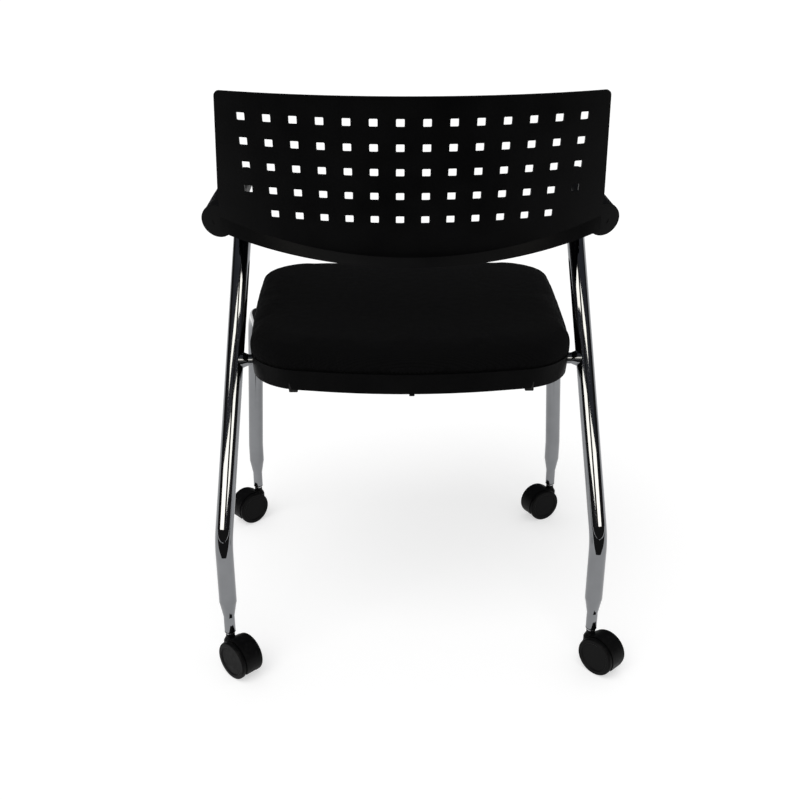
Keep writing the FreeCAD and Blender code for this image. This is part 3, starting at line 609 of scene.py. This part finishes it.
class CHAIR_OT_stage(bpy.types.Operator):
    """Sets up the floor, the light and the camera"""
    bl_idname = "chair.stage"
    bl_label = "Floor, light and camera"

    def execute(self, context):
        settings = context.scene.chair_stage
        context.scene.view_settings.view_transform = "Standard"
        self.floor(settings)
        self.sky(context, settings)
        self.key(context, settings)
        self.room(settings)
        self.camera(context, settings)
        return {"FINISHED"}

    def floor(self, settings):
        """A pale floor that shows white and keeps the chair's shadow."""
        bpy.ops.object.select_all(action="DESELECT")
        bpy.ops.mesh.primitive_plane_add(size=settings.floor_size, location=(0.0, 0.0, 0.0))
        floor = bpy.context.object
        floor.name = "floor"
        material = bpy.data.materials.new("pale_floor")
        material.use_nodes = True
        tree = material.node_tree
        tree.nodes.clear()
        matt = tree.nodes.new("ShaderNodeBsdfDiffuse")
        matt.inputs["Color"].default_value = (*settings.floor_shade, 1.0)
        glow = tree.nodes.new("ShaderNodeEmission")
        strength = sums(tree, "MULTIPLY", seen_or_mirrored(tree), settings.floor_glow)
        tree.links.new(strength, glow.inputs["Strength"])
        both = tree.nodes.new("ShaderNodeAddShader")
        tree.links.new(matt.outputs["BSDF"], both.inputs[0])
        tree.links.new(glow.outputs["Emission"], both.inputs[1])
        end = tree.nodes.new("ShaderNodeOutputMaterial")
        tree.links.new(both.outputs["Shader"], end.inputs["Surface"])
        floor.data.materials.append(material)

    def sky(self, context, settings):
        """A pale surround, white to the camera and in mirrors."""
        world = bpy.data.worlds.new("pale_surround")
        context.scene.world = world
        world.use_nodes = True
        tree = world.node_tree
        glow = tree.nodes["Background"]
        glow.inputs["Color"].default_value = (1.0, 1.0, 1.0, 1.0)
        seen = seen_or_mirrored(tree)
        strength = spread(tree, seen, low=settings.sky_strength, high=1.0, from_low=0.0, from_high=1.0)
        tree.links.new(strength, glow.inputs["Strength"])

    def key(self, context, settings):
        """A wide soft light from above and behind the camera's left."""
        lamp = bpy.data.lights.new("soft_key", "SUN")
        lamp.energy = settings.sun_strength
        lamp.angle = settings.sun_spread
        holder = bpy.data.objects.new("soft_key", lamp)
        holder.rotation_euler = (settings.sun_lean, settings.sun_side, 0.0)
        context.scene.collection.objects.link(holder)

    def room(self, settings):
        """Dark walls and a dim ceiling with strip lamps, seen only in the plating and other gloss."""
        wide = settings.room_size
        high = settings.room_height
        dark = settings.room_glow
        self.card("dim_ceiling", (0.0, 0.0, high), (wide, wide), FLAT,
                  settings.ceiling_glow, settings.ceiling_tint)
        for wall in range(4):
            heading = wall * math.pi / 2.0
            centre = (wide / 2.0 * math.sin(heading), wide / 2.0 * math.cos(heading), high / 2.0)
            self.card("dark_wall_%d" % wall, centre, (wide, high), (UPRIGHT, -heading), dark)
        self.card("camera_stand", *CAMERA_STAND, dark)
        self.card("dark_mat", *DARK_MAT, dark)
        self.card("bright_window", *BRIGHT_WINDOW, settings.window_glow)
        for number, (across, along, width, reach) in enumerate(STRIP_LAMPS):
            centre = (across, along, high - settings.strip_drop)
            self.card("strip_lamp_%d" % number, centre, (width, reach), FLAT,
                      settings.strip_glow, settings.strip_tint)

    def card(self, name, centre, size, turn, glow, tint=(1.0, 1.0, 1.0)):
        """A flat card that shows only in gloss and lights no matt surface."""
        bpy.ops.object.select_all(action="DESELECT")
        lean, heading = turn
        bpy.ops.mesh.primitive_plane_add(size=1.0, location=centre, rotation=(lean, 0.0, heading))
        card = bpy.context.object
        card.name = name
        card.scale = (*size, 1.0)
        material = bpy.data.materials.new(name)
        material.use_nodes = True
        tree = material.node_tree
        tree.nodes.clear()
        light = tree.nodes.new("ShaderNodeEmission")
        light.inputs["Color"].default_value = (*tint, 1.0)
        light.inputs["Strength"].default_value = glow
        end = tree.nodes.new("ShaderNodeOutputMaterial")
        tree.links.new(light.outputs["Emission"], end.inputs["Surface"])
        card.data.materials.append(material)
        card.visible_camera = False
        card.visible_diffuse = False
        card.visible_transmission = False
        card.visible_volume_scatter = False
        card.visible_shadow = False

    def camera(self, context, settings):
        """The camera of the photograph."""
        lens = bpy.data.cameras.new("photo_camera")
        lens.lens = settings.camera_lens
        lens.sensor_width = 36.0
        lens.clip_end = 200.0
        holder = bpy.data.objects.new("photo_camera", lens)
        yaw = settings.camera_yaw
        pitch = settings.camera_pitch
        level = math.cos(pitch)
        forward = Vector((-math.sin(yaw) * level, -math.cos(yaw) * level, -math.sin(pitch)))
        right = Vector((-math.cos(yaw), math.sin(yaw), 0.0))
        up = right.cross(forward)
        axes = Matrix((right, up, -forward)).transposed().to_4x4()
        rolled = axes @ Matrix.Rotation(settings.camera_roll, 4, "Z")
        holder.matrix_world = Matrix.Translation(Vector(settings.camera_place)) @ rolled
        context.scene.collection.objects.link(holder)
        context.scene.camera = holder


class CHAIR_PT_dressing(bpy.types.Panel):
    """Lists the steps that dress the chair."""
    bl_label = "Conference chair"
    bl_idname = "CHAIR_PT_dressing"
    bl_space_type = "VIEW_3D"
    bl_region_type = "UI"
    bl_category = "Chair"

    def draw(self, context):
        for step in STEPS:
            self.layout.operator(step.bl_idname)


STEPS = (
    CHAIR_OT_tubes,
    CHAIR_OT_back_and_arms,
    CHAIR_OT_seat_pad,
    CHAIR_OT_seat_underside,
    CHAIR_OT_casters,
    CHAIR_OT_fasteners,
    CHAIR_OT_stage,
)
GROUPS = {"chair_finish": ChairFinish, "chair_pad": ChairPad, "chair_stage": ChairStage}


def register():
    for name, group in GROUPS.items():
        bpy.utils.register_class(group)
        setattr(bpy.types.Scene, name, bpy.props.PointerProperty(type=group))
    for step in STEPS:
        bpy.utils.register_class(step)
    bpy.utils.register_class(CHAIR_PT_dressing)


def unregister():
    bpy.utils.unregister_class(CHAIR_PT_dressing)
    for step in reversed(STEPS):
        bpy.utils.unregister_class(step)
    for name, group in GROUPS.items():
        delattr(bpy.types.Scene, name)
        bpy.utils.unregister_class(group)


def main():
    register()
    bpy.ops.object.select_all(action="DESELECT")
    bpy.ops.chair.tubes()
    bpy.ops.chair.back_and_arms()
    bpy.ops.chair.seat_pad()
    bpy.ops.chair.seat_underside()
    bpy.ops.chair.casters()
    bpy.ops.chair.fasteners()
    bpy.ops.chair.stage()


if __name__ == "__main__":
    main()
